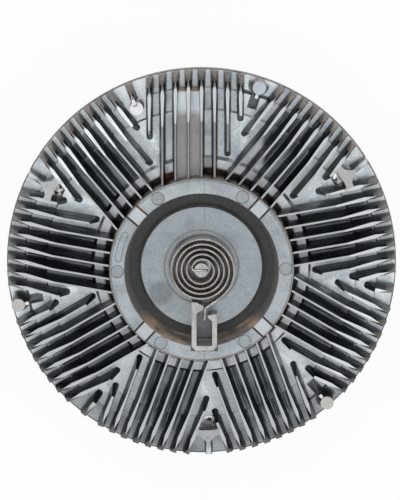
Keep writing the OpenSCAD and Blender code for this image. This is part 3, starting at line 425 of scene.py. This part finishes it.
# painted shade and painted glints in the pocket inside each web, where the casting is rough
pocket_glint_noise = noise(tree, put(tree, "ShaderNodeCombineXYZ", x, y, z).outputs[0], 330.0, 2.0)
web_pocket_light = times(tree, less(tree, from_web, 0.0062, 0.0008),
                   band(tree, radius, 0.1118, 0.1180, 0.0006), on_floor)
colour = tint(tree, web_pocket_light, colour, tint(tree, span(tree, pocket_glint_noise, 0.44, 0.58), *WEB_POCKET_SHADE_AND_GLINTS))
# flat tops of the screw pads, and of the round stub ends further in
pad = times(tree, band(tree, z, PAD_TOP - 0.0006, PAD_TOP + 0.0006, 0.0002),
            more(tree, radius, 0.114, 0.0005), span(tree, up, 0.95, 0.985))
pad_face = tint(tree, at_top, (0.56, 0.55, 0.53), (0.55, 0.60, 0.65))
pad_face = tint(tree, less(tree, radius, INNER_PAD, 0.0003), pad_face, (0.90, 0.91, 0.92))
colour = tint(tree, pad, colour, tint(tree, times(tree, patches, 0.25), pad_face, (0.30, 0.31, 0.33)))

# two fed channels of the top group: smooth, blue at their outer end, then burnt orange
fed_zone = times(tree, band(tree, across, 0.0010, 2 * FIN_PITCH - 0.0010, 0.0004), top_side,
                 less(tree, apart(tree, x), 0.024, 0.001))
fed_floor = times(tree, fed_zone, level, without(tree, at_crest), less(tree, below, 0.0125, 0.001))
colour = tint(tree, fed_floor, colour, tint(tree, tone, *FED_FLOOR))
blue = times(tree, fed_floor, band(tree, radius, MID_STEP, RIM_STEP + 0.0002, 0.0030))
colour = tint(tree, times(tree, blue, 0.9), colour, (0.86, 0.93, 0.97))
fed_end = times(tree, fed_zone, steep, band(tree, radius, 0.1246, 0.1282, 0.0003),
                more(tree, end_on, 0.6, 0.1))
burnt = tint(tree, span(tree, z, 0.0850, 0.0900), (0.52, 0.46, 0.42), (0.72, 0.36, 0.17))
colour = tint(tree, fed_end, colour, burnt)

# hub ring and middle disc: even grey, blotched, with a mould line and dirt in the cast marks
hub = less(tree, radius, HUB_RADIUS, 0.0003)
on_disc = less(tree, radius, DISC_RADIUS, 0.0003)
on_ring = more(tree, radius, RING_INSIDE, 0.0002)
face = tint(tree, tone, *HUB_FACE)
face = tint(tree, times(tree, on_disc, patches, 0.7), face, (0.26, 0.29, 0.315))
face = tint(tree, times(tree, spot(tree, x, y, (-0.029, -0.019), 0.011), 0.45), face, (0.10, 0.105, 0.11))
line = times(tree, band(tree, x, 0.0018, 0.0022, 0.0002), more(tree, apart(tree, y), 0.030, 0.001))
face = tint(tree, times(tree, line, 0.55), face, (0.08, 0.08, 0.08))
mark_along, mark_across = turned_to(tree, radius, nearest(tree, angle, 6, math.radians(1)))
from_mark = reach(tree, calc(tree, "SUBTRACT", mark_along, MARK_RADIUS), mark_across)
in_mark = times(tree, less(tree, from_mark, 0.0043, 0.0002), on_ring, patches)
face = tint(tree, times(tree, in_mark, 0.5), face, (0.20, 0.21, 0.22))
key_turn = calc(tree, "SUBTRACT", angle, KEY_MARK)
key_part = either(tree, calc(tree, "MINIMUM", key_turn, KEY_HALF), -KEY_HALF)
key_over = calc(tree, "SUBTRACT", key_turn, key_part)
from_key = reach(tree, calc(tree, "SUBTRACT", radius, MARK_RADIUS), times(tree, key_over, MARK_RADIUS))
outline = either(tree, band(tree, from_mark, 0.0042, 0.0047, 0.0002),
                 band(tree, from_key, 0.0019, 0.0023, 0.0002))
face = tint(tree, times(tree, outline, on_ring, 0.8), face, (0.06, 0.06, 0.06))
ring_edge = band(tree, radius, 0.0640, 0.0645, 0.0002)
face = tint(tree, times(tree, ring_edge, 0.65), face, (0.07, 0.07, 0.07))
face = tint(tree, more(tree, radius, 0.0648, 0.0002), face, (0.60, 0.56, 0.51))
for middle in RING_SLOTS:
    block_turn = apart(tree, nearest(tree, angle, 1, math.radians(middle)))
    block = times(tree, less(tree, times(tree, block_turn, radius), 0.0044, 0.0002), on_ring)
    face = tint(tree, times(tree, block, 0.5), face, (0.66, 0.69, 0.71))
sunk = times(tree, on_ring, less(tree, z, RING_TOP, 0.0002))
face = tint(tree, sunk, face, (0.075, 0.058, 0.042))
# painted shadow: a dark outline round the foot of the coil anchor
anchor_foot_shadow = times(tree, band(tree, x, -0.0077, 0.0117, 0.0002), band(tree, y, -0.0583, -0.0500, 0.0002),
                    less(tree, z, 0.1206, 0.0002), on_ring)
face = tint(tree, times(tree, anchor_foot_shadow, 0.8), face, (0.05, 0.05, 0.05))
face = tint(tree, more(tree, z, ANCHOR_TOP, 0.0002), face, tint(tree, tone, *ANCHOR_FACE))
rusty = times(tree, sunk, spot(tree, x, y, (-0.0410, 0.0440), 0.006))
face = tint(tree, rusty, face, RUST)
colour = tint(tree, hub, colour, tint(tree, level, tint(tree, tone, *HUB_SIDE), face))

# groove round the disc: painted shade, with a rusty bloom beside the anchor
groove = times(tree, band(tree, radius, DISC_RADIUS - 0.0001, RING_INSIDE + 0.0002, 0.0002),
               less(tree, z, 0.1190, 0.0008))
bloom = times(tree, less(tree, y, -0.036, 0.006), more(tree, radius, 0.0515, 0.0012), patches)
dark = tint(tree, level, (0.20, 0.20, 0.20), tint(tree, tone, *GROOVE_FLOOR_SHADE))
colour = tint(tree, groove, colour, tint(tree, bloom, dark, (0.72, 0.50, 0.34)))
# pocket inside the anchor, and painted shade on the floor of the dish under the coil
pocket = times(tree, band(tree, x, -0.0036, 0.0076, 0.0002), less(tree, y, -0.0325, 0.0005),
               less(tree, z, 0.1185, 0.0010), less(tree, radius, 0.0560, 0.0005))
colour = tint(tree, pocket, colour, (0.40, 0.41, 0.42))
under = times(tree, less(tree, radius, 0.0236, 0.0012), less(tree, z, 0.1045, 0.0005))
colour = tint(tree, under, colour, tint(tree, patches, *DISH_FLOOR_SHADE))

# brown stains of the casting, at the ring and at the rim of the top group
for middle, size in (((-0.0240, 0.0640), 0.0060), ((0.0085, 0.0670), 0.0050), ((-0.0330, 0.1290), 0.005),
                     ((-0.1010, -0.0120), 0.004)):
    stain = times(tree, spot(tree, x, y, middle, size), patches, without(tree, hub), 0.6)
    colour = tint(tree, stain, colour, RUST)
feed(tree, shader.inputs["Base Color"], colour)

# lands and crests are smoother than the rest, fed channels rougher; the groove with its painted shade, the
# anchor's pocket, the dish edge and dull skin reflect less
smooth_land = times(tree, level, on_floor, without(tree, deep), span(tree, in_group, 0.0, 1.0, 1.0, 0.35))
rough = span(tree, patches, 0.0, 1.0, 0.34, 0.48)
for mask, change in ((smooth_land, -0.17), (at_crest, -0.04), (fed_floor, 0.14)):
    rough = calc(tree, "ADD", rough, times(tree, mask, change))
feed(tree, shader.inputs["Roughness"], rough)
dish_edge = band(tree, radius, 0.0250, 0.0276, 0.0004)
skin = times(tree, either(tree, slope, times(tree, outer_skin, steep)), above_dark_low_ends)
dull = either(tree, groove, pocket, dish_edge, skin, times(tree, riser, steep, 0.6), fed_end)
feed(tree, shader.inputs["Metallic"], span(tree, dull, 0.0, 1.0, 1.0, 0.15))
bump(tree, shader, calc(tree, "ADD", marks["Height"], times(tree, turned, lathe, 0.6)), 0.45, 0.00006)
wear("front_cover", cast_cover)
soften("front_cover", 0.0004)


# Cover screws: zinc plated steel with flanged hexagon heads, driven in from the rear.
wear("cover_screws", zinc)
soften("cover_screws", 0.0002)


# Separator plate and its rivets: pressed sheet steel between the reservoir and the chamber.
sheet_steel = metal("pressed sheet steel", (0.40, 0.41, 0.42), (0.60, 0.61, 0.62), 0.3)
for name in ("separator_plate", "plate_rivets", "valve_seal_retainer"):
    wear(name, sheet_steel)


# Valve: bright turned shaft with a slotted head, a spring steel arm riveted to its foot,
# and a brass bush and thrust washer in the cover's boss.
bright_steel = metal("bright turned steel", (0.34, 0.34, 0.335), (0.62, 0.62, 0.61), 0.26,
                     1800.0, 120.0, 0.00003)
wear("valve_shaft", bright_steel)
soften("valve_shaft", 0.0003)
wear("valve_arm", spring_steel)
brass = metal("turned brass", (0.48, 0.34, 0.13), (0.70, 0.54, 0.28), 0.28)
wear("valve_bush", brass)
wear("valve_thrust_washer", brass)


# Bimetal coil: two metals rolled into one strip, wound on edge and tinted by heat.
# Its inner end sits in the shaft's slot, its tail in the cover's anchor.
COIL_START = 0.007        # radius of the first turn, on -X
COIL_PITCH = 0.0036
bimetal, tree, shader = new_finish("bimetal strip")
marks = grain(tree, 1500.0, 130.0)
coord = put(tree, "ShaderNodeTexCoord").outputs
x, y, z = put(tree, "ShaderNodeSeparateXYZ", coord["Object"]).outputs
up = put(tree, "ShaderNodeSeparateXYZ", coord["Normal"]).outputs[2]
flank = tint(tree, marks["Tone"], (0.24, 0.22, 0.205), (0.66, 0.62, 0.585))
turns = calc(tree, "DIVIDE", calc(tree, "SUBTRACT", reach(tree, x, y), COIL_START), COIL_PITCH)
turns = calc(tree, "ADD", turns, calc(tree, "DIVIDE", calc(tree, "ARCTAN2", y, x), 2 * math.pi))
across = times(tree, calc(tree, "SUBTRACT", calc(tree, "FRACT", turns), 0.5), COIL_PITCH)
joint = span(tree, apart(tree, across), 0.00010, 0.00032, 1.0, 0.0)
edge = tint(tree, marks["Tone"], (0.38, 0.36, 0.335), (0.80, 0.77, 0.73))
edge = tint(tree, times(tree, joint, 0.75), edge, (0.10, 0.085, 0.075))
feed(tree, shader.inputs["Base Color"], tint(tree, span(tree, up, 0.5, 0.9), flank, edge))
feed(tree, shader.inputs["Roughness"], span(tree, marks["Patches"], 0.0, 1.0, 0.26, 0.4))
shader.inputs["Metallic"].default_value = 1.0
bump(tree, shader, marks["Height"], 0.4, 0.00003)
wear("bimetal_coil", bimetal)
# the strip that is shown is a copy of the coil with rounded edges; in use its inside turns with the shaft
# and its outside stays in the anchor
strip = bpy.data.objects.new("wound_strip", nodes["bimetal_coil"].data.copy())
bpy.context.scene.collection.objects.link(strip)
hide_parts("bimetal_coil")
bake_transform(strip)
soften(strip, 0.00025, 0.9)


# Studio: white floor, soft light all round, and the camera a little off the axis.
FLOOR_SIZE, FLOOR_GLOW = 12.0, 0.92
bpy.ops.mesh.primitive_plane_add(size=FLOOR_SIZE)
floor = bpy.context.object
floor.name = "floor"
paper, tree, shader = new_finish("white paper")
shader.inputs["Base Color"].default_value = (0.9, 0.9, 0.9, 1)
shader.inputs["Roughness"].default_value = 0.9
shader.inputs["Specular IOR Level"].default_value = 0.0
path = put(tree, "ShaderNodeLightPath").outputs
seen = either(tree, path["Is Camera Ray"], path["Is Glossy Ray"], path["Is Transmission Ray"])
glow = put(tree, "ShaderNodeEmission", (1.0, 1.0, 1.0), 1.0)
mixed = put(tree, "ShaderNodeMixShader", times(tree, seen, FLOOR_GLOW))
feed(tree, mixed.inputs[1], shader.outputs[0])
feed(tree, mixed.inputs[2], glow.outputs[0])
feed(tree, tree.nodes["Material Output"].inputs["Surface"], mixed.outputs[0])
floor.data.materials.append(paper)

world = bpy.data.worlds.new("studio")
bpy.context.scene.world = world
world.use_nodes = True
tree = world.node_tree
sky = put(tree, "ShaderNodeSeparateXYZ", put(tree, "ShaderNodeTexCoord").outputs["Generated"]).outputs[2]
ramp = put(tree, "ShaderNodeValToRGB", sky)
stops = ramp.color_ramp.elements
stops[0].position, stops[0].color = 0.0, (0.52, 0.52, 0.53, 1)
stops[1].position, stops[1].color = 1.0, (0.95, 0.96, 0.97, 1)
for position, light in ((0.25, 0.62), (0.5, 0.87), (0.72, 1.0)):
    stop = stops.new(position)
    stop.color = (light, light, light * 1.01, 1)
background = tree.nodes["Background"]
feed(tree, background.inputs[0], ramp.outputs[0])
background.inputs[1].default_value = 1.0


def softbox(name, place, size, power):
    """Square lamp that faces the fins."""
    lamp = bpy.data.lights.new(name, "AREA")
    lamp.size = size
    lamp.energy = power
    made = bpy.data.objects.new(name, lamp)
    bpy.context.scene.collection.objects.link(made)
    made.location = place
    made.rotation_euler = (Vector((0, 0, 0.1)) - Vector(place)).to_track_quat("-Z", "Y").to_euler()


softbox("key softbox", (-0.9, 1.1, 1.3), 0.9, 2.0)
softbox("fill softbox", (1.2, -0.5, 1.2), 0.9, 2)

PIXELS_PER_METRE = 1390.0    # scale of the picture at the rim
TILT, DISTANCE = math.radians(8.6), 2.72
AIM_HEIGHT = 0.080
PICTURE_HEIGHT = 500          # pixels
SIDEWAYS, UPWARDS = 1.5, 11.7   # pixels from the picture's middle to the axis
camera = bpy.data.objects.new("camera", bpy.data.cameras.new("camera"))
bpy.context.scene.collection.objects.link(camera)
bpy.context.scene.camera = camera
right = Vector((1, 0, 0))
head = Vector((0, math.cos(TILT), -math.sin(TILT)))
back = Vector((0, math.sin(TILT), math.cos(TILT)))
aim = Vector((0, 0, AIM_HEIGHT)) + (head * UPWARDS - right * SIDEWAYS) / PIXELS_PER_METRE
camera.location = aim + back * DISTANCE
camera.rotation_euler = Matrix((right, head, back)).transposed().to_euler()
camera.data.sensor_width = 36.0
camera.data.lens = PIXELS_PER_METRE * DISTANCE * camera.data.sensor_width / PICTURE_HEIGHT
camera.data.clip_end = 50.0
bpy.context.scene.view_settings.view_transform = "Standard"
